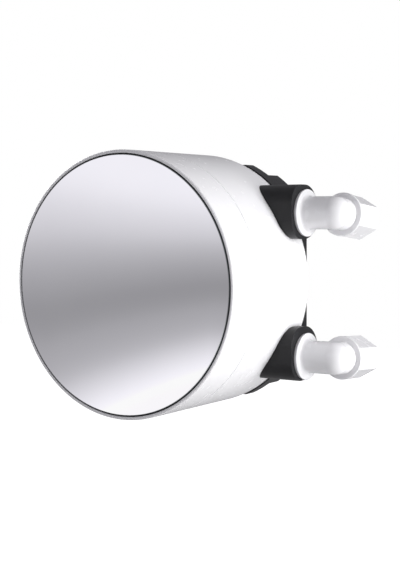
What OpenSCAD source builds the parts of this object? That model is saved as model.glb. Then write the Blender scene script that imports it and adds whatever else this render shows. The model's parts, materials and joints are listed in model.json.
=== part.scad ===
// Extendable shaving mirror.
// A round mirror sits in the head of a deep drum. The head pulls out of the drum on a two-stage
// scissor, and the mirror tilts and swivels on a cardan cross. Two swivel elbows with union nuts
// leave the right side towards the wall.
// The origin is the centre of the wall plate's back face. +Z is up, +X is the object's right side as
// the user sees it, and -Y points from the wall to the user.

/* [Mirror] */
// Diameter of the mirror glass
mirror_d = 200; // [170:1:240]
// Thickness of the mirror glass
glass_t = 3; // [2:0.5:4]
// Thickness of the pad that bonds the glass to its tray
pad_t = 0.8; // [0.5:0.1:1]
// Thickness of the mirror tray's floor
tray_t = 1.4; // [1.2:0.1:2]
// Depth of the mirror tray's rim behind the glass face
tray_depth = 13; // [11:0.5:14]
// Depth of the tilting centre behind the glass face
tilt_depth = 11.5; // [11.5:0.1:12]
// Clearance between the tray's spherical edge and the head ring
tilt_gap = 0.3; // [0.25:0.05:0.5]

/* [Drum] */
// Wall of the white drum, head and housing alike
drum_wall = 2.6; // [2.4:0.1:4]
// Depth of the pull-out head, seen from the side
head_depth = 35.2; // [34:0.2:48]
// Open seam between the head and the housing
seam_gap = 0.5; // [0.3:0.1:1.5]
// Depth of the drum housing
drum_depth = 75.3; // [72:0.1:110]
// Thickness of the drum's back wall
back_wall_t = 3; // [2.5:0.5:5]
// Length of the skirt that guides the head in the housing
skirt_l = 11.5; // [10:0.5:13]
// Wall of the skirt
skirt_wall = 1.9; // [1.6:0.1:1.9]
// Radius of the rounding on the drum's front rim
rim_round = 1.9; // [0.8:0.1:2]

/* [Back unit] */
// Thickness of the black rear plate
plate_t = 12; // [10:0.5:20]
// Width of the rear plate across its flats
plate_w = 188.8; // [170:0.2:198]
// Depth of the back cover
cover_t = 17; // [14:0.5:25]
// Width of the back cover across its flats
cover_w = 172; // [150:1:178]
// Wall of the back cover
cover_wall = 3; // [2:0.5:4]
// Depth of the wall plate
wall_plate_t = 18; // [16:0.5:28]
// Width of the wall plate
wall_plate_w = 130; // [120:1:140]
// Height of the wall plate
wall_plate_h = 130; // [120:1:140]
// Wall of the wall plate's pan
wall_plate_wall = 4; // [3:0.5:5]
// Distance between the wall screws, sideways and up
wall_hole_pitch = 96; // [90:1:100]
// Diameter of the wall screw holes
wall_hole_d = 5.5; // [4:0.5:8]

/* [Fittings] */
// Distance between the centres of the two brackets
bracket_pitch = 111.4; // [110:0.2:116]
// Distance between the two fitting axes
fitting_pitch = 113; // [111:0.2:116]
// Drop of the fitting axes below the middle of the brackets
fitting_drop = 1.7; // [0:0.1:2]
// Distance of the fitting axes from the wall
fitting_from_wall = 55; // [54.5:0.5:57]
// Width and height of a bracket
bracket_d = 42.6; // [42:0.2:46]
// Radius of a bracket's front corners
bracket_corner = 14.6; // [6:0.2:20]
// Distance of the bracket's outer face from the drum's centre line
bracket_x = 103.2; // [98:0.2:112]
// Height of the bearing cap that stands on the bracket
cap_t = 1.6; // [1.4:0.1:4]
// Diameter of the elbow's flange
flange_d = 37.2; // [34:0.2:38]
// Thickness of the elbow's flange
flange_t = 2.8; // [2:0.2:5]
// Outside diameter of the elbow's tube
tube_d = 25.6; // [24:0.2:28]
// Inside diameter of the elbow's tube
tube_bore = 19; // [16:0.5:20]
// Distance of the elbow's bend from the drum's centre line
bend_x = 131; // [126:0.2:150]
// Droop of the upper elbow's rear leg below level, in degrees
upper_droop = 6; // [0:0.5:10]
// Droop of the lower elbow's rear leg below level, in degrees
lower_droop = 4; // [0:0.5:10]
// Diameter of the collar at the end of the elbow's rear leg
collar_d = 34.2; // [33:0.2:36]
// Length of the union nut
nut_l = 32; // [28:0.2:33]
// Width of the union nut across its flats
nut_af = 29.6; // [29:0.2:33]
// Inside diameter of the union nut's thread
nut_bore = 24.2; // [23:0.1:25]

/* [Scissor] */
// Length of a scissor arm between its end pins
arm_l = 140; // [130:1:150]
// Angle of the arms from upright when the head is in, in degrees
arm_angle = 8; // [7:0.5:8]
// Width of a scissor arm
arm_w = 15; // [12:0.5:16]
// Thickness of a scissor arm
arm_t = 3; // [2:0.5:4]
// Diameter of the cross shafts
shaft_d = 6; // [5:0.5:8]
// Diameter of the rollers that run in the rails' slots
roller_d = 10; // [9:0.5:12]
// Distance between the two scissor sets, from middle to middle
set_pitch = 60; // [50:1:70]
// Furthest angle of the arms from upright, in degrees
arm_angle_out = 50; // [40:1:55]

/* [Hidden] */

$fn = 96;

// Clearances
fit = 0.05;          // running clearance of a pin, all round
seat = 0.02;         // clearance of a piece that is pressed or bolted in place
loose = 0.3;         // clearance between pieces that pass each other
open_pivot = 0.4;    // clearance of the scissor's unguided pivot

// Radii of the drum, from the glass outwards
glass_r = mirror_d / 2;
ball_r = sqrt(pow(glass_r, 2) + pow(tilt_depth, 2));
bore_r = ball_r + tilt_gap;
drum_r = bore_r + drum_wall;
drum_bore_r = drum_r - 3;
skirt_r = drum_bore_r - 0.5;
skirt_bore_r = skirt_r - skirt_wall;

// Stations along Y, from the wall to the glass
y_cover_back = -wall_plate_t;
y_plate_back = y_cover_back - cover_t;
y_drum_back = y_plate_back - plate_t;
y_drum_front = y_drum_back - drum_depth;
y_head_back = y_drum_front - seam_gap;
y_glass = y_head_back - head_depth;
y_tilt = y_glass + tilt_depth;
y_head_plate = y_head_back + skirt_l - 5.2;
head_plate_t = 3;

// Screws, all of one pattern: a domed head on a plain shank
screw_d = 4;
screw_head_d = 7.4;
screw_head_h = 2.6;

// Cardan cross and its forks
gimbal_pin_d = 4;
gimbal_reach = 7;
gimbal_ear_r = 4;
gimbal_ear_t = 2.6;
gimbal_core = 6.2;
tray_bar_t = 1.2;
tray_bar_x = 16;
fork_base_t = 2.4;
fork_base_r = 20;

// Scissor stations
arm_drop = arm_l * cos(arm_angle);
arm_reach = arm_l * sin(arm_angle);
pivot_z = arm_drop / 2;
rail_stand = 11.8;
rail_t = 3;
y_rear_pivot = y_drum_back - back_wall_t - rail_stand;
y_mid_pivot = y_rear_pivot - arm_reach;
y_front_pivot = y_mid_pivot - arm_reach;
layer_gap = 0.5;
set_x = set_pitch / 2;
cheek_t = 2.5;
cheek_x = set_x + layer_gap / 2 + arm_t + layer_gap;
slot_travel = arm_l * (cos(arm_angle) - cos(arm_angle_out));
shaft_head_d = shaft_d + 4;
shaft_head_t = 1.6;

// Fixings of the head
y_tray = y_glass + glass_t + pad_t + 2 * seat;
head_lug_r = 88;
head_screw_r = 93;
head_screw_angles = [0:60:300];
fork_screw_r = 15;
rail_screw_x = 18;
rail_screw_z = [-60, -20, 20, 60];

// Fixings of the back unit
pillar_x = 40;
pillar_r = 6;
spigot_l = 8;
spigot_w = wall_plate_w - 2 * wall_plate_wall - 2 * loose;
spigot_h = wall_plate_h - 2 * wall_plate_wall - 2 * loose;

// Fitting stations
fit_y = -fitting_from_wall;
bracket_r = bracket_d / 2;
plate_r = drum_r + 1;
cover_r = drum_r + 0.4;
barrel_r = 18.4;
barrel_x = 74;
bush_r = 15;
spigot_r = 12;
cap_x = bracket_x + seat;
flange_x = cap_x + cap_t + 0.2;
plate_floor_t = 3;
tab_t = 3.8;
tab_x = 50;
tab_neck_x = 68;
tab_screw_x = 57;
tab_half_h = 11;
tab_neck_half_h = 7;
tab_screw_z = 6;
notch_x = barrel_x - 4.5;
clip_t = 1.1;
clip_r = spigot_r + 2.4;
clip_x = barrel_x - clip_t - 0.3;
groove_x = 81;
o_ring_d = 1.7;
knuckle = 0.15;      // the bend's ball stands this far proud of the tube
collar_l = 1.6;
collar_s = tube_d / 2 + knuckle - collar_l;
nut_s = collar_s + collar_l + 0.4;
tail_r = tube_bore / 2 - seat;
tail_bore_r = 7.5;
nut_shoulder = 3.9;
nut_relief_l = 6.2;
tail_flange_s = nut_s + nut_shoulder + 0.3;
tail_flange_t = 2.5;
washer_t = 2;

// Colours, as the object shows them
white_plastic = [0.93, 0.93, 0.94];
black_plastic = [0.10, 0.10, 0.11];
steel = [0.62, 0.63, 0.65];
rubber = [0.06, 0.06, 0.06];

// ---------- Helpers ----------

// An outline in Y and Z, pushed along X from x0 to x1
module along_x(x0, x1) translate([x0, 0, 0]) rotate([90, 0, 90]) linear_extrude(x1 - x0) children();

// An outline in X and Z, pushed along Y from y0 to y1
module along_y(y0, y1) translate([0, y1, 0]) rotate([90, 0, 0]) linear_extrude(y1 - y0) children();

// A round bar along Y, from y0 to y1
module rod_y(r, y0, y1, x = 0, z = 0)
    translate([x, y0, z]) rotate([-90, 0, 0]) cylinder(r = r, h = y1 - y0);

// A round bar along X, from x0 to x1
module rod_x(r, x0, x1, y = 0, z = 0) translate([x0, y, z]) rotate([0, 90, 0]) cylinder(r = r, h = x1 - x0);

// A round bar along Z, from z0 to z1
module rod_z(r, z0, z1, y = 0) translate([0, y, z0]) cylinder(r = r, h = z1 - z0);

// A box from its two corners
module block(low, high) translate(low) cube(high - low);

// A profile of [radius, Y] turned about the drum's axis
module turned_y(points) rotate([-90, 0, 0]) rotate_extrude($fn = 180) polygon(points);

// Points of an arc of radius r about [cx, cy], from angle a0 to a1
function arc(cx, cy, r, a0, a1, steps = 8) =
    [for (i = [0:steps]) let (a = a0 + (a1 - a0) * i / steps) [cx + r * cos(a), cy + r * sin(a)]];

// A disc with four flats, as wide across them as w
module flatted_disc(r, w) intersection() {
    circle(r = r, $fn = 180);
    square(w, center = true);
}

// A rectangle with round corners, centred
module round_rect(w, h, r) union() {
    square([w - 2 * r, h], center = true);
    square([w, h - 2 * r], center = true);
    for (sx = [-1, 1], sz = [-1, 1]) translate([sx * (w / 2 - r), sz * (h / 2 - r)]) circle(r = r);
}

// A screw along Y: the head's seat is at y = 0 and the shank runs to y = length; towards = -1 turns it
module screw(length, towards = 1) rotate([towards > 0 ? -90 : 90, 0, 0]) {
    cylinder(d = screw_d - 2 * seat, h = length);
    translate([0, 0, -screw_head_h]) difference() {
        rotate_extrude($fn = 36) polygon(concat([[0, screw_head_h], [screw_head_d / 2, screw_head_h]],
            [for (i = [0:5]) let (a = 18 * i) [screw_head_d / 2 * cos(a), 1.6 * (1 - sin(a))]], [[0, 0]]));
        translate([0, 0, -1]) cylinder(d = 2.6, h = 2.4, $fn = 6);
    }
}

// ---------- Mirror ----------

module mirror_glass() color("lightsteelblue") turned_y([
    [0, y_glass], [glass_r - 0.6, y_glass], [glass_r, y_glass + 0.6], [glass_r, y_glass + glass_t],
    [0, y_glass + glass_t]
]);

module mirror_pad() color(rubber) rod_y(glass_r - 4, y_glass + glass_t + seat, y_glass + glass_t + pad_t);

// The tray's edge is part of a sphere about the cross, so it turns inside the head ring
module mirror_tray() color(black_plastic) difference() {
    y_seat = y_glass + glass_t + seat;
    y_rim = y_glass + tray_depth;
    ledge = 3.5;
    union() {
        turned_y(concat(
            [[0, y_tray], [glass_r - ledge, y_tray], [glass_r - ledge, y_seat]],
            arc(0, y_tilt, ball_r, asin((y_seat - y_tilt) / ball_r), asin((y_rim - y_tilt) / ball_r)),
            [[glass_r - 3, y_rim], [glass_r - 3, y_tray + tray_t], [0, y_tray + tray_t]]
        ));
        // Ribs from the fork's seat to the rim
        for (a = [30:60:330]) rotate([0, a, 0])
            block([26, y_tray + tray_t - 0.2, -1], [glass_r - 2.5, y_rim - 4, 1]);
        turned_y([[25, y_tray + tray_t - 0.2], [27, y_tray + tray_t - 0.2], [27, y_rim - 4], [25, y_rim - 4]]);
    }
    for (side = [-1, 1]) rod_y(screw_d / 2, y_tray - 1, y_tray + tray_t + 1, side * tray_bar_x);
}

// Two ears beside the cross, left and right, on a bar that is screwed to the tray
module tray_fork() color(steel) difference() {
    y_bar = y_tray + tray_t + seat;
    union() {
        block([-20, y_bar, -4.5], [20, y_bar + tray_bar_t, 4.5]);
        for (side = [0, 180]) rotate([0, side, 0]) {
            rod_x(gimbal_ear_r, gimbal_reach, gimbal_reach + gimbal_ear_t, y_tilt);
            block([gimbal_reach, y_bar, -gimbal_ear_r], [gimbal_reach + gimbal_ear_t, y_tilt, gimbal_ear_r]);
        }
    }
    rod_x(gimbal_pin_d / 2 + fit, -20, 20, y_tilt);
    for (side = [-1, 1]) rod_y(screw_d / 2, y_bar - 1, y_bar + 4, side * tray_bar_x);
}

module tray_fork_screws() color(steel) for (side = [-1, 1])
    translate([side * tray_bar_x, y_tray + tray_t + tray_bar_t + 2 * seat, 0])
        screw(tray_t + tray_bar_t - 0.4, -1);

// Four short pins on a square core: two level for the mirror's tilt, two upright for its swivel
module gimbal_cross() color(steel) union() {
    half = gimbal_core / 2;
    block([-half, y_tilt - half, -half], [half, y_tilt + half, half]);
    reach = gimbal_reach + gimbal_ear_t + 0.6;
    rod_x(gimbal_pin_d / 2, -reach, reach, y_tilt);
    rod_z(gimbal_pin_d / 2, -reach, reach, y_tilt);
}

// ---------- Head ----------

// Rim, front drum section, and the skirt that slides in the housing, in one moulding
module head_ring() color(white_plastic) difference() {
    y_skirt = y_head_back + skirt_l;
    turned_y(concat(
        [[bore_r, y_glass + 0.4], [bore_r + 0.4, y_glass]],
        arc(drum_r - rim_round, y_glass + rim_round, rim_round, -90, 0),
        [[drum_r, y_head_back - 0.5], [drum_r - 0.5, y_head_back], [skirt_r, y_head_back],
        [skirt_r, y_skirt - 1], [skirt_r - 1, y_skirt], [head_lug_r, y_skirt],
        [head_lug_r, y_head_plate + head_plate_t + seat], [skirt_bore_r, y_head_plate + head_plate_t + seat],
        [skirt_bore_r, y_head_back - 1], [bore_r, y_head_back - 1 - bore_r + skirt_bore_r]]
    ));
    for (a = head_screw_angles) rotate([0, a, 0])
        rod_y(screw_d / 2, y_head_plate, y_skirt + 1, head_screw_r);
}

// Plate across the back of the head, with windows between its arms
module head_plate() color(black_plastic) difference() {
    y1 = y_head_plate + head_plate_t;
    rod_y(skirt_bore_r - loose, y_head_plate, y1);
    for (a = [-22.5, 22.5, 157.5, 202.5]) rotate([0, a, 0])
        along_y(y_head_plate - 1, y1 + 1) translate([71, 0]) round_rect(26, 40, 6);
    for (a = head_screw_angles) rotate([0, a, 0]) rod_y(screw_d / 2, y_head_plate - 1, y1 + 1, head_screw_r);
    fork_holes(y_head_plate - 1, y1 + 1);
    rail_holes(y_head_plate - 1, y1 + 1);
}

module head_plate_screws() color(steel) for (a = head_screw_angles) rotate([0, a, 0])
    translate([head_screw_r, y_head_plate - seat, 0]) screw(head_plate_t + 2);

// Holes for the screws that hold the gimbal fork
module fork_holes(y0, y1) for (a = [0:90:270]) rotate([0, a + 45, 0]) rod_y(screw_d / 2, y0, y1, fork_screw_r);

// Two ears above and below the cross, on a round base that is screwed to the head plate
module gimbal_fork() color(steel) difference() {
    y_base = y_head_plate - seat;
    union() {
        rod_y(fork_base_r, y_base - fork_base_t, y_base);
        for (side = [0, 180]) rotate([0, side, 0]) {
            rod_z(gimbal_ear_r, gimbal_reach, gimbal_reach + gimbal_ear_t, y_tilt);
            block([-gimbal_ear_r, y_tilt, gimbal_reach],
                [gimbal_ear_r, y_base - fork_base_t + 0.2, gimbal_reach + gimbal_ear_t]);
        }
    }
    rod_z(gimbal_pin_d / 2 + fit, -20, 20, y_tilt);
    fork_holes(y_base - fork_base_t - 1, y_base + 1);
}

module gimbal_fork_screws() color(steel) for (a = [0:90:270]) rotate([0, a + 45, 0])
    translate([fork_screw_r, y_head_plate - fork_base_t - 2 * seat, 0]) screw(fork_base_t + head_plate_t - 0.4);

// ---------- Scissor rails ----------

// Outline of one rail cheek in Y and Z: a round lug at the fixed pivot and a long slot for the rollers.
// The pivot is at y = 0 and the cheek reaches to y = base.
module cheek_outline(base) difference() {
    lug = 7.5;
    union() {
        translate([0, pivot_z]) circle(r = lug);
        translate([0, -pivot_z - 3]) circle(r = lug);
        translate([base > 0 ? 0 : base, -pivot_z - 3]) square([abs(base), 2 * pivot_z + 3]);
        translate([-lug, -pivot_z - 3]) square([2 * lug, slot_travel + 8]);
        translate([base > 0 ? 0 : base, -pivot_z - 3 - lug]) square([abs(base), 2 * pivot_z + 3 + 2 * lug]);
    }
    translate([0, pivot_z]) circle(d = shaft_d + 2 * seat);
    slot_r = roller_d / 2 + 0.1;
    translate([0, -pivot_z]) circle(r = slot_r);
    translate([0, -pivot_z + slot_travel]) circle(r = slot_r);
    translate([-slot_r, -pivot_z]) square([2 * slot_r, slot_travel]);
}

// Holes for the screws through a rail's web
module rail_holes(y0, y1) for (z = rail_screw_z, side = [-1, 1])
    rod_y(screw_d / 2, y0, y1, side * rail_screw_x, z);

// A channel of two cheeks and a web. Its pivot is at y_pivot and its web lies against y_web.
module rail(y_pivot, y_web) difference() {
    base = y_web - y_pivot;
    web = base > 0 ? [y_web - rail_t, y_web] : [y_web, y_web + rail_t];
    union() {
        for (side = [-1, 1]) along_x(side > 0 ? cheek_x : -cheek_x - cheek_t,
            side > 0 ? cheek_x + cheek_t : -cheek_x) translate([y_pivot, 0]) cheek_outline(base);
        block([-cheek_x - 0.1, web[0], -pivot_z - 10.5], [cheek_x + 0.1, web[1], pivot_z + 4.5]);
    }
    rail_holes(web[0] - 1, web[1] + 1);
}

module base_rail() color(steel) rail(y_rear_pivot, y_drum_back - back_wall_t - seat);
module front_rail() color(steel) rail(y_front_pivot, y_head_plate + head_plate_t + seat);

module base_rail_screws() color(steel) for (z = rail_screw_z, side = [-1, 1])
    translate([side * rail_screw_x, y_drum_back - back_wall_t - rail_t - 2 * seat, z])
        screw(rail_t + back_wall_t - 0.4);

module front_rail_screws() color(steel) for (z = rail_screw_z, side = [-1, 1])
    translate([side * rail_screw_x, y_head_plate + head_plate_t + rail_t + 2 * seat, z])
        screw(rail_t + head_plate_t - 0.4, -1);

// ---------- Scissor arms ----------

// Where a joint of the scissor stands when the head is in
pin_rear_top = [y_rear_pivot, pivot_z];
pin_rear_low = [y_rear_pivot, -pivot_z];
pin_mid_top = [y_mid_pivot, pivot_z];
pin_mid_low = [y_mid_pivot, -pivot_z];
pin_front_top = [y_front_pivot, pivot_z];
pin_front_low = [y_front_pivot, -pivot_z];

// A pair of flat arms, one in each set, from pin to pin, with a bore at each end and in the middle.
// Layer 0 lies outside and layer 1 inside. Each bore has its own clearance.
module arm_pair(from, to, layer, gaps) {
    middle = (from + to) / 2;
    angle = atan2(to[1] - from[1], to[0] - from[0]);
    x_in = layer == 0 ? set_x + layer_gap / 2 : set_x - layer_gap / 2 - arm_t;
    for (side = [-1, 1]) along_x(side > 0 ? x_in : -x_in - arm_t, side > 0 ? x_in + arm_t : -x_in) difference() {
        union() {
            translate(from) circle(d = arm_w);
            translate(to) circle(d = arm_w);
            translate(middle) rotate(angle) square([arm_l, arm_w], center = true);
        }
        translate(from) circle(d = shaft_d + 2 * gaps[0]);
        translate(middle) circle(d = shaft_d + 2 * gaps[1]);
        translate(to) circle(d = shaft_d + 2 * gaps[2]);
        // Lightening slots between the bores
        for (t = [-1, 1]) translate(middle) rotate(angle) translate([t * arm_l / 4, 0])
            union() {
                square([arm_l / 5, arm_w / 3], center = true);
                for (e = [-1, 1]) translate([e * arm_l / 10, 0]) circle(d = arm_w / 3);
            }
    }
}

module rear_arms_a() color(steel) arm_pair(pin_rear_top, pin_mid_low, 0, [fit, seat, seat]);
module rear_arms_b() color(steel) arm_pair(pin_mid_top, pin_rear_low, 1, [seat, fit, seat]);
module front_arms_b() color(steel) arm_pair(pin_mid_low, pin_front_top, 1, [fit, seat, fit]);
module front_arms_a() color(steel) arm_pair(pin_mid_top, pin_front_low, 0, [open_pivot, fit, seat]);

// A shaft through both sets, with a flat head beyond x = half at each end
module cross_shaft(pin, half) color(steel) union() {
    rod_x(shaft_d / 2, -half - shaft_head_t / 2, half + shaft_head_t / 2, pin[0], pin[1]);
    for (x = [-half - shaft_head_t, half]) rod_x(shaft_head_d / 2, x, x + shaft_head_t, pin[0], pin[1]);
}

// Half length of a shaft that ends outside the arms, and of one that ends outside the cheeks
arms_half = set_x + layer_gap / 2 + arm_t + seat;
cheeks_half = cheek_x + cheek_t + 0.2;

module rear_pivot_shaft() cross_shaft(pin_rear_top, cheeks_half);
module front_pivot_shaft() cross_shaft(pin_front_top, cheeks_half);
module rear_slider_shaft() cross_shaft(pin_rear_low, cheeks_half);
module front_slider_shaft() cross_shaft(pin_front_low, cheeks_half);
module lower_mid_shaft() cross_shaft(pin_mid_low, arms_half);
module upper_mid_shaft() cross_shaft(pin_mid_top, arms_half);
module rear_centre_shaft() cross_shaft((pin_rear_top + pin_mid_low) / 2, arms_half);
module front_centre_shaft() cross_shaft((pin_mid_low + pin_front_top) / 2, arms_half);

// The rollers of a sliding shaft, one in each cheek's slot
module roller_pair(pin) color(white_plastic) for (side = [-1, 1]) difference() {
    x0 = side > 0 ? cheek_x : -cheek_x - cheek_t;
    rod_x(roller_d / 2, x0, x0 + cheek_t, pin[0], pin[1]);
    rod_x(shaft_d / 2 + seat, x0 - 1, x0 + cheek_t + 1, pin[0], pin[1]);
}

module rear_rollers() roller_pair(pin_rear_low);
module front_rollers() roller_pair(pin_front_low);

// ---------- Housing ----------

// Heights of a bracket's centre and of a fitting's axis; side is 1 for the upper and -1 for the lower
function bracket_z(side) = side * bracket_pitch / 2;
function fit_z(side) = side * fitting_pitch / 2 - fitting_drop;
function droop(side) = side > 0 ? upper_droop : lower_droop;

// Room for a bracket's barrel and for the elbow's spigot inside it
module barrel_notches() for (side = [-1, 1]) rod_x(barrel_r + loose, notch_x, drum_r + 5, fit_y, fit_z(side));

// The four places where long screws hold the back unit to the drum
module at_pillars() for (x = [-pillar_x, pillar_x], z = [-pillar_x, pillar_x]) translate([x, 0, z]) children();

module drum_shell() color(white_plastic) difference() {
    turned_y(concat(
        [[0, y_drum_back - back_wall_t], [drum_bore_r, y_drum_back - back_wall_t],
        [drum_bore_r, y_drum_front], [drum_r - 0.5, y_drum_front], [drum_r, y_drum_front + 0.5]],
        arc(drum_r - 1, y_drum_back - 1, 1, 0, 90),
        [[0, y_drum_back]]
    ));
    barrel_notches();
    at_pillars() rod_y(screw_d / 2, y_drum_back - back_wall_t - 1, y_drum_back + 1);
    rail_holes(y_drum_back - back_wall_t - 1, y_drum_back + 1);
}

// Deep plate behind the drum, hollow towards it, with a pillar round each long screw
module rear_plate() color(black_plastic) difference() {
    y0 = y_drum_back + seat;
    rim = 6;
    union() {
        difference() {
            along_y(y0, y_plate_back) flatted_disc(plate_r, plate_w);
            along_y(y0 - 1, y_plate_back - plate_floor_t) flatted_disc(plate_r - rim, plate_w - 2 * rim);
        }
        at_pillars() rod_y(pillar_r, y0, y_plate_back - plate_floor_t + 0.1);
    }
    barrel_notches();
    at_pillars() rod_y(screw_d / 2, y0 - 1, y_plate_back + 1);
    for (side = [-1, 1]) tab_holes(side, y_plate_back - plate_floor_t - 1, y_plate_back + 1);
}

// Shallow cover behind the rear plate, hollow towards it, with a square spigot towards the wall
module back_cover() color(black_plastic) difference() {
    y0 = y_plate_back + seat;
    union() {
        difference() {
            along_y(y0, y_cover_back) flatted_disc(cover_r, cover_w);
            along_y(y0 - 1, y_cover_back - cover_wall)
                flatted_disc(cover_r - cover_wall, cover_w - 2 * cover_wall);
        }
        at_pillars() rod_y(pillar_r, y0, y_cover_back - cover_wall + 0.1);
        difference() {
            along_y(y_cover_back - 0.1, y_cover_back + spigot_l) round_rect(spigot_w, spigot_h, 3);
            along_y(y_cover_back - 1, y_cover_back + spigot_l + 1)
                round_rect(spigot_w - 2 * cover_wall, spigot_h - 2 * cover_wall, 2);
        }
        along_y(y_cover_back - cover_wall, y_cover_back)
            square([spigot_w - cover_wall, spigot_h - cover_wall], center = true);
    }
    barrel_notches();
    at_pillars() rod_y(screw_d / 2, y0 - 1, y_cover_back + 1);
    at_wall_plate_screws() rod_z(screw_d / 2, -10, 1);
}

// The wall plate is a pan: its floor is screwed to the wall and its rim goes round the cover's spigot
module wall_plate() color(black_plastic) difference() {
    y0 = y_cover_back + seat;
    along_y(y0, 0) round_rect(wall_plate_w, wall_plate_h, 5);
    along_y(y0 - 1, -wall_plate_wall)
        round_rect(wall_plate_w - 2 * wall_plate_wall, wall_plate_h - 2 * wall_plate_wall, 3);
    for (x = [-1, 1], z = [-1, 1])
        rod_y(wall_hole_d / 2, -wall_plate_wall - 1, 1, x * wall_hole_pitch / 2, z * wall_hole_pitch / 2);
    at_wall_plate_screws() rod_z(screw_d / 2, -10, 1);
}

module plate_screws() color(steel) at_pillars() translate([0, y_cover_back + seat, 0])
    screw(cover_t + plate_t + back_wall_t - 0.4, -1);

// Frames on the wall plate's upper and lower rim, with +Z outwards
module at_wall_plate_screws() for (side = [0, 180], x = [-40, 40]) rotate([0, side, 0])
    translate([x, y_cover_back + spigot_l / 2 + 0.5, wall_plate_h / 2]) children();

module wall_plate_screws() color(steel) at_wall_plate_screws() translate([0, 0, seat])
    rotate([90, 0, 0]) screw(wall_plate_wall + cover_wall - 0.4, -1);

// ---------- Side brackets ----------

// A bracket from x0 to x1: round behind, with broad corners in front
module bracket_prism(side, x0, x1) along_x(x0, x1) translate([fit_y, bracket_z(side)]) {
    inset = bracket_r - bracket_corner;
    circle(r = bracket_r, $fn = 120);
    for (end = [-1, 1]) translate([-inset, end * inset]) circle(r = bracket_corner, $fn = 120);
    translate([-bracket_r, -inset]) square([bracket_r, 2 * inset]);
    translate([-inset, -bracket_r]) square([inset, 2 * bracket_r]);
}

module tab_holes(side, y0, y1) for (dz = [-tab_screw_z, tab_screw_z])
    rod_y(screw_d / 2, y0, y1, tab_screw_x, bracket_z(side) + dz);

// A block that wraps over the drum, a barrel that reaches inside it, and a tab in the rear plate's hollow
module bracket(side) color(black_plastic) difference() {
    y1 = y_plate_back - plate_floor_t - seat;
    union() {
        difference() {
            bracket_prism(side, barrel_x - 20, bracket_x);
            rod_y(drum_r + 0.15, y_drum_front, y_drum_back + 0.01);
            rod_y(plate_r + loose, y_drum_back - 0.01, -1);
        }
        rod_x(barrel_r, barrel_x, bracket_x, fit_y, fit_z(side));
        block([tab_x, y1 - tab_t, bracket_z(side) - tab_half_h],
            [tab_neck_x, y1, bracket_z(side) + tab_half_h]);
        block([tab_neck_x - 1, y1 - tab_t, fit_z(side) - tab_neck_half_h],
            [barrel_x + 1, y1, fit_z(side) + tab_neck_half_h]);
    }
    rod_x(bush_r + seat, barrel_x - 1, bracket_x + 1, fit_y, fit_z(side));
    rod_x(clip_r + loose, notch_x, barrel_x, fit_y, fit_z(side));
    tab_holes(side, y1 - tab_t - 1, y1 + 1);
}

module bracket_screws() color(steel) for (side = [-1, 1], dz = [-tab_screw_z, tab_screw_z])
    translate([tab_screw_x, y_plate_back + seat, bracket_z(side) + dz]) screw(plate_floor_t + tab_t - 0.4, -1);

// A profile of [radius, X] turned about a fitting's axis
module turned_x(side, points) translate([0, fit_y, fit_z(side)]) rotate([0, 90, 0])
    rotate_extrude($fn = 120) polygon(points);

// Cover that stands on the bracket behind the elbow's flange and keeps the bush in
module bearing_cap(side) color(black_plastic) difference() {
    bracket_prism(side, cap_x, cap_x + cap_t);
    rod_x(spigot_r + loose, cap_x - 1, cap_x + cap_t + 1, fit_y, fit_z(side));
}

module swivel_bush(side) color(white_plastic) turned_x(side, [
    [spigot_r + fit, barrel_x], [bush_r, barrel_x], [bush_r, bracket_x], [spigot_r + fit, bracket_x]
]);

// ---------- Elbows and union nuts ----------

// The frame of an elbow's rear leg: +Y runs along the leg and the origin is at the bend
module at_leg(side) translate([bend_x, fit_y, fit_z(side)]) rotate([-droop(side), 0, 0]) children();

// Spigot, flange, tube, bend and rear leg in one moulding, with a collar at the leg's end
module elbow(side) color(white_plastic) difference() {
    tube_r = tube_d / 2;
    collar_r = collar_d / 2;
    blend = 2.4;
    edge = 0.9;
    x1 = flange_x + flange_t;
    union() {
        turned_x(side, concat(
            [[0, barrel_x - 3], [spigot_r - 0.6, barrel_x - 3], [spigot_r, barrel_x - 2.4],
            [spigot_r, clip_x - 0.05], [spigot_r - 1.2, clip_x - 0.05],
            [spigot_r - 1.2, clip_x + clip_t + 0.05], [spigot_r, clip_x + clip_t + 0.05],
            [spigot_r, groove_x - o_ring_d / 2 - 0.15], [spigot_r - 1.8, groove_x - o_ring_d / 2 - 0.15],
            [spigot_r - 1.8, groove_x + o_ring_d / 2 + 0.15], [spigot_r, groove_x + o_ring_d / 2 + 0.15],
            [spigot_r, flange_x], [flange_d / 2 - 0.4, flange_x]],
            arc(flange_d / 2 - edge, x1 - edge, edge, 0, 90),
            arc(tube_r + blend, x1 + blend, blend, 270, 180),
            [[tube_r, bend_x], [0, bend_x]]
        ));
        translate([bend_x, fit_y, fit_z(side)]) sphere(r = tube_r + knuckle);
        at_leg(side) rotate([-90, 0, 0]) rotate_extrude($fn = 120) polygon(concat(
            [[0, 0], [tube_r, 0], [tube_r, collar_s]],
            arc(collar_r - edge, collar_s + edge, edge, -90, 0),
            arc(collar_r - 0.3, collar_s + collar_l - 0.3, 0.3, 0, 90),
            [[0, collar_s + collar_l]]
        ));
    }
    rod_x(tube_bore / 2, barrel_x - 4, bend_x, fit_y, fit_z(side));
    translate([bend_x, fit_y, fit_z(side)]) sphere(r = tube_bore / 2 + knuckle);
    at_leg(side) rod_y(tube_bore / 2, 0, collar_s + collar_l + 1);
}

module o_ring(side) color(rubber) translate([groove_x, fit_y, fit_z(side)]) rotate([0, 90, 0])
    rotate_extrude() translate([spigot_r - o_ring_d / 2, 0]) circle(d = o_ring_d - 2 * seat, $fn = 24);

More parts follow.
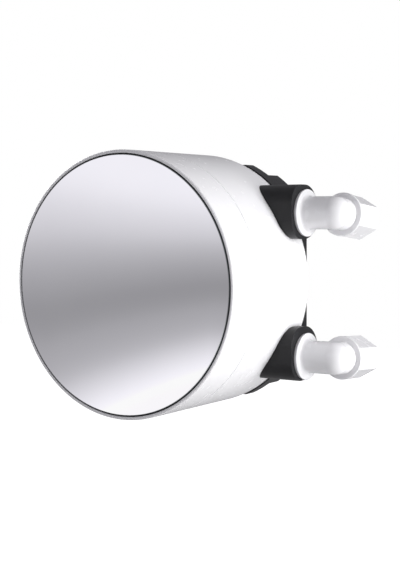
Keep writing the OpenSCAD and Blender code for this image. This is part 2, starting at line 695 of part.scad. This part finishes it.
// Open spring ring in the groove at the spigot's inner end
module retaining_clip(side) color(steel) difference() {
    rod_x(clip_r, clip_x, clip_x + clip_t, fit_y, fit_z(side));
    rod_x(spigot_r - 1.1, clip_x - 1, clip_x + clip_t + 1, fit_y, fit_z(side));
    block([clip_x - 1, fit_y - 3, fit_z(side)], [clip_x + clip_t + 1, fit_y + 3, fit_z(side) + 20]);
}

// Tube end that is bonded into the elbow; its flange holds the nut and carries the washer
module union_tail(side) color(white_plastic) at_leg(side) difference() {
    union() {
        rod_y(tail_r, collar_s - 6, tail_flange_s + tail_flange_t);
        rod_y(nut_bore / 2 - loose, tail_flange_s, tail_flange_s + tail_flange_t);
    }
    rod_y(tail_bore_r, collar_s - 7, tail_flange_s + tail_flange_t + 1);
}

module sealing_washer(side) color(rubber) at_leg(side) difference() {
    y0 = tail_flange_s + tail_flange_t + seat;
    rod_y(nut_bore / 2 - loose, y0, y0 + washer_t);
    rod_y(tail_bore_r, y0 - 1, y0 + washer_t + 1);
}

// Hexagonal nut with a flat towards +X, chamfered corners and an inner shoulder at its front
module union_nut(side) color(white_plastic) at_leg(side) difference() {
    corner_r = nut_af / sqrt(3);
    relief_s = nut_s + nut_shoulder;
    chamfer = 0.7;
    intersection() {
        translate([0, nut_s, 0]) rotate([-90, 0, 0]) rotate([0, 0, 30]) cylinder(r = corner_r, h = nut_l, $fn = 6);
        rotate([-90, 0, 0]) rotate_extrude($fn = 120) polygon([
            [0, nut_s], [corner_r - chamfer, nut_s], [corner_r + 0.1, nut_s + chamfer],
            [corner_r + 0.1, nut_s + nut_l - chamfer], [corner_r - chamfer, nut_s + nut_l],
            [0, nut_s + nut_l]
        ]);
    }
    rod_y(tail_r + fit, nut_s - 1, nut_s + nut_l);
    rod_y(nut_bore / 2 + 0.6, relief_s, relief_s + nut_relief_l);
    rod_y(nut_bore / 2, relief_s, nut_s + nut_l + 1);
}

module upper_bracket() bracket(1);
module lower_bracket() bracket(-1);
module upper_bearing_cap() bearing_cap(1);
module lower_bearing_cap() bearing_cap(-1);
module upper_swivel_bush() swivel_bush(1);
module lower_swivel_bush() swivel_bush(-1);
module upper_elbow() elbow(1);
module lower_elbow() elbow(-1);
module upper_o_ring() o_ring(1);
module lower_o_ring() o_ring(-1);
module upper_retaining_clip() retaining_clip(1);
module lower_retaining_clip() retaining_clip(-1);
module upper_union_tail() union_tail(1);
module lower_union_tail() union_tail(-1);
module upper_sealing_washer() sealing_washer(1);
module lower_sealing_washer() sealing_washer(-1);
module upper_union_nut() union_nut(1);
module lower_union_nut() union_nut(-1);

mirror_glass();
mirror_pad();
mirror_tray();
tray_fork();
tray_fork_screws();
gimbal_cross();
head_ring();
head_plate();
head_plate_screws();
gimbal_fork();
gimbal_fork_screws();
front_rail();
front_rail_screws();
front_pivot_shaft();
rear_arms_a();
rear_centre_shaft();
lower_mid_shaft();
rear_arms_b();
upper_mid_shaft();
rear_slider_shaft();
rear_rollers();
front_arms_b();
front_centre_shaft();
front_arms_a();
front_slider_shaft();
front_rollers();
drum_shell();
rear_plate();
back_cover();
wall_plate();
plate_screws();
wall_plate_screws();
base_rail();
base_rail_screws();
rear_pivot_shaft();
upper_bracket();
upper_bearing_cap();
upper_swivel_bush();
lower_bracket();
lower_bearing_cap();
lower_swivel_bush();
bracket_screws();
upper_elbow();
upper_o_ring();
upper_retaining_clip();
upper_union_tail();
upper_sealing_washer();
upper_union_nut();
lower_elbow();
lower_o_ring();
lower_retaining_clip();
lower_union_tail();
lower_sealing_washer();
lower_union_nut();
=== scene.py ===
import json
import math
import bpy
from mathutils import Matrix, Vector


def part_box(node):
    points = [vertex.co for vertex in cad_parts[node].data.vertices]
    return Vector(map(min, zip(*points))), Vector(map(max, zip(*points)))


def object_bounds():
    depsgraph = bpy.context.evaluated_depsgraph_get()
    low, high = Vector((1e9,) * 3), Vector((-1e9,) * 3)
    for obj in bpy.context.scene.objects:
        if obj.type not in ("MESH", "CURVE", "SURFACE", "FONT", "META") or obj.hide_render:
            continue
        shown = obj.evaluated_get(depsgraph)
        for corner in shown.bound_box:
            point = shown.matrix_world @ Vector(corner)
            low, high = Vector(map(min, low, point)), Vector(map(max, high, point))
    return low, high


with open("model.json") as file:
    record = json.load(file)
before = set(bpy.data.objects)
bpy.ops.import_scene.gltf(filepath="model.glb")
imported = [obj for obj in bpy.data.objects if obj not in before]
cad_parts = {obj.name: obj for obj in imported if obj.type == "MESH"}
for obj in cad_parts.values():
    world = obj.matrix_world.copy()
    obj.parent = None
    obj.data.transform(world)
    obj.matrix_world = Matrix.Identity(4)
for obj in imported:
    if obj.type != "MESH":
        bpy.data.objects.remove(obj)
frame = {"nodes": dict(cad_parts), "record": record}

CAD_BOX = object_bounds()
NODES = frame["nodes"]
MM = 0.001

# ---------------------------------------------------------------- shader helpers


class Shader:
    """A small builder for one procedural material, in object coordinates measured in metres."""

    def __init__(self, name, **values):
        self.mat = bpy.data.materials.new(name)
        self.mat.use_nodes = True
        self.tree = self.mat.node_tree
        self.tree.nodes.clear()
        self.out = self.tree.nodes.new("ShaderNodeOutputMaterial")
        self.bsdf = self.tree.nodes.new("ShaderNodeBsdfPrincipled")
        self.tree.links.new(self.bsdf.outputs[0], self.out.inputs[0])
        self.coords = self.tree.nodes.new("ShaderNodeTexCoord").outputs["Object"]
        for key, value in values.items():
            self.bsdf.inputs[key.replace("_", " ")].default_value = value

    def link(self, source, target):
        self.tree.links.new(source, target)

    def node(self, kind, **settings):
        made = self.tree.nodes.new(kind)
        for key, value in settings.items():
            setattr(made, key, value)
        return made

    def stretched(self, scale=(1, 1, 1), rotation=(0, 0, 0), offset=(0, 0, 0)):
        mapping = self.node("ShaderNodeMapping")
        mapping.inputs["Scale"].default_value = scale
        mapping.inputs["Rotation"].default_value = rotation
        mapping.inputs["Location"].default_value = offset
        self.link(self.coords, mapping.inputs["Vector"])
        return mapping.outputs[0]

    def noise(self, scale, detail=3, rough=0.5, coords=None, distortion=0):
        made = self.node("ShaderNodeTexNoise")
        made.inputs["Scale"].default_value = scale
        made.inputs["Detail"].default_value = detail
        made.inputs["Roughness"].default_value = rough
        made.inputs["Distortion"].default_value = distortion
        self.link(coords or self.coords, made.inputs["Vector"])
        return made.outputs["Fac"]

    def spread(self, source, low, high, start=0.3, stop=0.7):
        """Turns a value between start and stop into one between low and high"""
        made = self.node("ShaderNodeMapRange")
        for key, value in (("From Min", start), ("From Max", stop), ("To Min", low), ("To Max", high)):
            made.inputs[key].default_value = value
        self.link(source, made.inputs["Value"])
        return made.outputs[0]

    def math(self, operation, a, b=None):
        made = self.node("ShaderNodeMath", operation=operation)
        for slot, value in ((0, a), (1, b)):
            if value is None:
                continue
            if isinstance(value, (int, float)):
                made.inputs[slot].default_value = value
            else:
                self.link(value, made.inputs[slot])
        return made.outputs[0]

    def reach(self, first, second):
        """The distance from the origin in the plane of two named coordinates"""
        split = self.node("ShaderNodeSeparateXYZ")
        self.link(self.coords, split.inputs[0])
        squares = [self.math("POWER", split.outputs[axis], 2.0) for axis in (first, second)]
        return self.math("POWER", self.math("ADD", *squares), 0.5)

    def blend(self, factor, low, high):
        made = self.node("ShaderNodeMix", data_type="RGBA")
        self.link(factor, made.inputs["Factor"])
        for slot, value in (("A", low), ("B", high)):
            socket = [s for s in made.inputs if s.name == slot and s.type == "RGBA"][0]
            if isinstance(value, tuple):
                socket.default_value = (*value, 1)
            else:
                self.link(value, socket)
        return [s for s in made.outputs if s.type == "RGBA"][0]

    def bump(self, height, distance, strength=1.0, below=None):
        made = self.node("ShaderNodeBump")
        made.inputs["Strength"].default_value = strength
        made.inputs["Distance"].default_value = distance
        self.link(height, made.inputs["Height"])
        if below is not None:
            self.link(below, made.inputs["Normal"])
        return made.outputs[0]

    def finish(self, color=None, rough=None, normal=None):
        if color is not None:
            self.link(color, self.bsdf.inputs["Base Color"])
        if rough is not None:
            self.link(rough, self.bsdf.inputs["Roughness"])
        if normal is not None:
            self.link(normal, self.bsdf.inputs["Normal"])
        return self.mat


def moulded_white(name, low=(0.876, 0.872, 0.888), high=(0.89, 0.886, 0.9)):
    """Gloss injection-moulded plastic: slow flow marks, a faint orange peel, and fine handling haze"""
    s = Shader(name, Specular_IOR_Level=0.5, IOR=1.49, Coat_Weight=0.25, Coat_Roughness=0.12)
    flow = s.noise(14, 4, 0.55, s.stretched((1, 0.45, 1)))
    haze = s.noise(120, 5, 0.6)
    peel = s.noise(420, 2, 0.4)
    color = s.blend(s.spread(flow, 0, 1), low, high)
    rough = s.math("ADD", s.spread(haze, 0.25, 0.28), s.spread(flow, -0.01, 0.01))
    return s.finish(color, rough, s.bump(peel, 0.000001, 0.2, s.bump(flow, 0.000004, 0.1)))


def satin_black(name):
    """Glass-filled black plastic with a fine spark-eroded grain and slightly polished high spots"""
    s = Shader(name, Specular_IOR_Level=0.26, IOR=1.5)
    grain = s.noise(2600, 3, 0.6)
    pores = s.node("ShaderNodeTexVoronoi", feature="F1")
    pores.inputs["Scale"].default_value = 1500
    s.link(s.coords, pores.inputs["Vector"])
    cloud = s.noise(35, 4, 0.6)
    shade = s.math("ADD", s.spread(grain, 0, 0.5), s.spread(cloud, 0, 0.5))
    color = s.blend(shade, (0.011, 0.011, 0.012), (0.024, 0.024, 0.026))
    rough = s.math("ADD", s.spread(cloud, 0.34, 0.44), s.spread(grain, -0.04, 0.06))
    height = s.math("ADD", grain, s.math("MULTIPLY", pores.outputs["Distance"], 0.5))
    return s.finish(color, rough, s.bump(height, 0.00004, 0.35))


def rolled_steel(name, axis, tint=((0.44, 0.45, 0.47), (0.6, 0.61, 0.63))):
    """Brushed strip: long scratches along one axis over a cloudy mill finish"""
    s = Shader(name, Metallic=1.0)
    scale = [1.0, 1.0, 1.0]
    scale[axis] = 0.03
    scratch = s.noise(1400, 4, 0.7, s.stretched(tuple(scale)))
    cloud = s.noise(45, 3, 0.5)
    color = s.blend(s.spread(s.math("ADD", scratch, cloud), 0, 1, 0.7, 1.3), *tint)
    rough = s.math("ADD", s.spread(scratch, 0.24, 0.4), s.spread(cloud, -0.04, 0.05))
    return s.finish(color, rough, s.bump(scratch, 0.00002, 0.5))


def zinc_plate(name):
    """Bright zinc plating: small crystalline spangles, pale straw and blue tints, and a fine grain"""
    s = Shader(name, Metallic=1.0)
    spangle = s.node("ShaderNodeTexVoronoi", feature="F1")
    spangle.inputs["Scale"].default_value = 900
    s.link(s.coords, spangle.inputs["Vector"])
    cloud = s.noise(160, 3, 0.6)
    tone = s.blend(s.spread(cloud, 0, 1), (0.62, 0.63, 0.66), (0.72, 0.7, 0.62))
    color = s.blend(s.spread(spangle.outputs["Distance"], 0, 0.35, 0, 0.8), tone, (0.45, 0.46, 0.48))
    rough = s.math("ADD", s.spread(cloud, 0.22, 0.34), s.spread(spangle.outputs["Distance"], 0, 0.08, 0, 0.8))
    return s.finish(color, rough, s.bump(spangle.outputs["Distance"], 0.00003, 0.3))


def natural_nylon(name):
    s = Shader(name, Subsurface_Weight=0.12, Subsurface_Scale=0.002, IOR=1.53)
    cloud = s.noise(90, 4, 0.6)
    grain = s.noise(1500, 2, 0.5)
    color = s.blend(s.spread(cloud, 0, 1), (0.74, 0.72, 0.65), (0.83, 0.82, 0.77))
    rough = s.math("ADD", s.spread(cloud, 0.36, 0.46), s.spread(grain, -0.03, 0.03))
    return s.finish(color, rough, s.bump(grain, 0.00003, 0.4))


def black_rubber(name):
    s = Shader(name, Specular_IOR_Level=0.35)
    bloom = s.noise(60, 4, 0.6)
    grain = s.noise(1800, 3, 0.6)
    color = s.blend(s.spread(bloom, 0, 1), (0.014, 0.014, 0.014), (0.03, 0.03, 0.031))
    rough = s.math("ADD", s.spread(bloom, 0.62, 0.78), s.spread(grain, -0.05, 0.05))
    return s.finish(color, rough, s.bump(grain, 0.00006, 0.5))


def silvered_glass(name, radius):
    """Front-silvered look of a mirror: a faint polish haze, and a darker edge round the rim, partly the
    glass's own ground edge and partly painted shade standing in for the shadowed gap between the glass and
    its tray
    """
    s = Shader(name, Metallic=1.0, IOR=1.52)
    # painted shade: this dark ring at the glass's rim is the ground edge's own darker colour plus painted
    # shade for the shadow in the gap round the glass
    edge = s.spread(s.reach("X", "Z"), 0, 1, radius - 0.45 * MM, radius - 0.3 * MM)
    haze = s.noise(22, 4, 0.6)
    silver = s.blend(s.spread(haze, 0, 1), (0.936, 0.934, 0.944), (0.952, 0.95, 0.956))
    color = s.blend(edge, silver, (0.2, 0.23, 0.23))
    rough = s.math("ADD", s.spread(haze, 0.006, 0.014), s.math("MULTIPLY", edge, 0.3))
    return s.finish(color, rough, s.bump(s.noise(700, 2, 0.5), 0.000002, 0.1))


WHITE = moulded_white("white_gloss_plastic")
BLACK = satin_black("black_satin_plastic")
STRIP_Z = rolled_steel("brushed_steel_upright", 2)
STRIP_X = rolled_steel("brushed_steel_level", 0)
ZINC = zinc_plate("zinc_plated_steel")
NYLON = natural_nylon("natural_nylon")
RUBBER = black_rubber("black_rubber")

glass_low, glass_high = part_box("mirror_glass")
GLASS_R = (glass_high.x - glass_low.x) / 2
GLASS_Y = glass_low.y
MIRROR = silvered_glass("silvered_mirror", GLASS_R)

SLOT_MATERIAL = {
    "mirror": MIRROR, "white_plastic": WHITE, "black_plastic": BLACK, "steel": STRIP_Z,
    "plated_steel": ZINC, "nylon": NYLON, "rubber": RUBBER,
}
LEVEL_STEEL = ("tray_fork", "gimbal_fork", "gimbal_cross")

for part in frame["record"]["subparts"]:
    node = NODES[part["node"]]
    material = STRIP_X if part["node"] in LEVEL_STEEL else SLOT_MATERIAL[part["material_slot"]]
    node.data.materials.clear()
    node.data.materials.append(material)

# Small edge breaks, as moulded and pressed pieces have
EDGE_BREAK = {
    "upper_bracket": 0.5, "lower_bracket": 0.5, "rear_plate": 0.4, "back_cover": 0.4, "wall_plate": 0.6,
    "upper_union_nut": 0.35, "lower_union_nut": 0.35, "base_rail": 0.2, "front_rail": 0.2,
}
for name, width in EDGE_BREAK.items():
    bevel = NODES[name].modifiers.new("edge_break", "BEVEL")
    bevel.width = width * MM
    bevel.segments = 3
    bevel.limit_method = "ANGLE"
    bevel.angle_limit = math.radians(40)
    bevel.harden_normals = True
    bevel.use_clamp_overlap = True

# ---------------------------------------------------------------- camera

LENS = 73.84                       # on a 36 mm long side
EYE = Vector((550.2, -704.2, 52.0)) * MM + Vector((0, GLASS_Y, 0))
YAW, PITCH, ROLL = (math.radians(a) for a in (34.03, 3.33, -0.27))

forward = Vector((-math.sin(YAW) * math.cos(PITCH), math.cos(YAW) * math.cos(PITCH), -math.sin(PITCH)))
level = Vector((math.cos(YAW), math.sin(YAW), 0))
above = level.cross(forward)
right = level * math.cos(ROLL) + above * math.sin(ROLL)
up = above * math.cos(ROLL) - level * math.sin(ROLL)

camera = bpy.data.objects.new("camera", bpy.data.cameras.new("camera"))
bpy.context.scene.collection.objects.link(camera)
camera.data.lens = LENS
camera.data.sensor_width = 36
camera.data.sensor_fit = "AUTO"
camera.data.clip_start = 0.05
camera.data.clip_end = 50
turn = Matrix((right, up, -forward)).transposed()
camera.matrix_world = Matrix.Translation(EYE) @ turn.to_4x4()
bpy.context.scene.camera = camera

# ---------------------------------------------------------------- floor, sky and lights

FLOOR_DROP = 0.7
FLOOR_Z = CAD_BOX[0].z - FLOOR_DROP
REACH_SIDE, REACH_FRONT, REACH_BACK = 6.0, 2.7, 6.0
FADE_START, FADE_STOP = 1.3, 1.9   # the floor turns into the white surround between these radii
NEAR_GLOW = 0.6                    # how much the floor glows within the inner radius, as the camera sees it
floor_mesh = bpy.data.meshes.new("floor")
floor_mesh.from_pydata(
    [(-REACH_SIDE, -REACH_FRONT, FLOOR_Z), (REACH_SIDE, -REACH_FRONT, FLOOR_Z),
     (REACH_SIDE, REACH_BACK, FLOOR_Z), (-REACH_SIDE, REACH_BACK, FLOOR_Z)], [], [(0, 1, 2, 3)])
floor = bpy.data.objects.new("floor", floor_mesh)
bpy.context.scene.collection.objects.link(floor)
pale = Shader("pale_floor", Specular_IOR_Level=0.1)
soft = pale.noise(1.5, 3, 0.5)
fade = pale.spread(pale.reach("X", "Y"), 0, 1, FADE_START, FADE_STOP)
pale.bsdf.inputs["Emission Color"].default_value = (1, 1, 1, 1)
watched = pale.node("ShaderNodeLightPath").outputs["Is Camera Ray"]
glow = pale.math("ADD", pale.math("MULTIPLY", fade, 1 - NEAR_GLOW), NEAR_GLOW)
pale.link(pale.math("MULTIPLY", glow, watched), pale.bsdf.inputs["Emission Strength"])
floor_mesh.materials.append(pale.finish(
    pale.blend(pale.spread(soft, 0, 1), (0.56, 0.56, 0.56), (0.6, 0.6, 0.6)),
    pale.spread(soft, 0.75, 0.85), pale.bump(soft, 0.0005, 0.2)))

# The studio's brightness by the height of a direction. The mirror shows a part of it that has a soft
# dark band near the horizon; everywhere else it is an even, dimmer surround.
BAND_STOPS = [
    (-0.3, 0.9), (-0.17, 1.0), (-0.156, 0.97), (-0.122, 0.567), (-0.088, 0.379), (-0.058, 0.344),
    (-0.02, 0.573), (0.014, 0.825), (0.048, 0.927), (0.1, 0.8), (0.25, 0.5)]
SURROUND_STOPS = [(-1.0, 0.1), (-0.3, 0.13), (0.0, 0.22), (0.3, 0.28), (1.0, 0.3)]
SEEN = Vector((-0.61, -0.79, -0.05)).normalized()     # the middle of what the mirror shows
BAND_Z = -0.062                                       # height of the band's middle

world = bpy.data.worlds.new("studio")
bpy.context.scene.world = world
world.use_nodes = True
sky = world.node_tree
sky.nodes.clear()
sky_out = sky.nodes.new("ShaderNodeOutputWorld")
direction = sky.nodes.new("ShaderNodeTexCoord").outputs["Generated"]
parts = sky.nodes.new("ShaderNodeSeparateXYZ")
sky.links.new(direction, parts.inputs[0])


def sky_range(source, start, stop, low, high):
    made = sky.nodes.new("ShaderNodeMapRange")
    for key, value in (("From Min", start), ("From Max", stop), ("To Min", low), ("To Max", high)):
        made.inputs[key].default_value = value
    sky.links.new(source, made.inputs["Value"])
    return made.outputs[0]


def sky_math(operation, a, b):
    made = sky.nodes.new("ShaderNodeMath")
    made.operation = operation
    for slot, value in ((0, a), (1, b)):
        if isinstance(value, float):
            made.inputs[slot].default_value = value
        else:
            sky.links.new(value, made.inputs[slot])
    return made.outputs[0]


def sky_ramp(source, stops, start, stop):
    """A colour ramp over heights from start to stop"""
    made = sky.nodes.new("ShaderNodeValToRGB")
    sky.links.new(sky_range(source, start, stop, 0.0, 1.0), made.inputs["Fac"])
    made.color_ramp.interpolation = "CARDINAL"
    ramp = made.color_ramp.elements
    while len(ramp) > 1:
        ramp.remove(ramp[-1])
    for index, (height, value) in enumerate(stops):
        place = (height - start) / (stop - start)
        entry = ramp[0] if index == 0 else ramp.new(place)
        entry.position = place
        entry.color = (value * 0.995, value * 0.981, value * 1.043, 1)
    return made.outputs["Color"]


# The band narrows and drops a little towards the user's right
BAND_LEFT, BAND_RIGHT = -0.66, -0.55
BAND_TILT = 0.009
bend = sky_range(parts.outputs["X"], BAND_LEFT, BAND_RIGHT, 0.78, 1.3)
drop = sky_range(parts.outputs["X"], BAND_LEFT, BAND_RIGHT, BAND_Z + BAND_TILT, BAND_Z - BAND_TILT)
bent = sky_math("ADD", sky_math("MULTIPLY", sky_math("SUBTRACT", parts.outputs["Z"], BAND_Z), bend), drop)
seen = sky.nodes.new("ShaderNodeVectorMath")
seen.operation = "DOT_PRODUCT"
sky.links.new(direction, seen.inputs[0])
seen.inputs[1].default_value = SEEN
mix = sky.nodes.new("ShaderNodeMix")
mix.data_type = "RGBA"
sky.links.new(sky_range(seen.outputs["Value"], 0.8, 0.92, 0.0, 1.0), mix.inputs["Factor"])
sides = [socket for socket in mix.inputs if socket.type == "RGBA"]
sky.links.new(sky_ramp(parts.outputs["Z"], SURROUND_STOPS, -1.0, 1.0), sides[0])
sky.links.new(sky_ramp(bent, BAND_STOPS, -0.4, 0.4), sides[1])
mixed = [socket for socket in mix.outputs if socket.type == "RGBA"][0]
sky_light = sky.nodes.new("ShaderNodeBackground")
sky.links.new(mixed, sky_light.inputs["Color"])
backdrop = sky.nodes.new("ShaderNodeBackground")
backdrop.inputs["Color"].default_value = (1, 1, 1, 1)
ray = sky.nodes.new("ShaderNodeLightPath")
pick = sky.nodes.new("ShaderNodeMixShader")
sky.links.new(ray.outputs["Is Camera Ray"], pick.inputs["Fac"])
sky.links.new(sky_light.outputs[0], pick.inputs[1])
sky.links.new(backdrop.outputs[0], pick.inputs[2])
sky.links.new(pick.outputs[0], sky_out.inputs[0])


def soft_light(name, place, aim, width, height, power, tone=(1, 1, 1)):
    lamp = bpy.data.objects.new(name, bpy.data.lights.new(name, "AREA"))
    lamp.data.shape = "RECTANGLE"
    lamp.data.size, lamp.data.size_y = width, height
    lamp.data.energy = power
    lamp.data.color = tone
    bpy.context.scene.collection.objects.link(lamp)
    lamp.location = place
    lamp.rotation_mode = "QUATERNION"
    lamp.rotation_quaternion = (Vector(aim) - Vector(place)).to_track_quat("-Z", "Y")
    return lamp


MIDDLE = (0, -0.09, 0)
soft_light("key_right", (1.6, 0.1, 0.03), MIDDLE, 1.0, 1.4, 33)
soft_light("fill_front", (0.6, -2.0, 1.0), MIDDLE, 1.2, 1.0, 3)
soft_light("fill_left", (-1.5, 0.55, 0.45), MIDDLE, 1.2, 1.4, 14)

scene = bpy.context.scene
scene.view_settings.view_transform = "Standard"
scene.view_settings.look = "None"
scene.view_settings.exposure = 0
scene.view_settings.gamma = 1
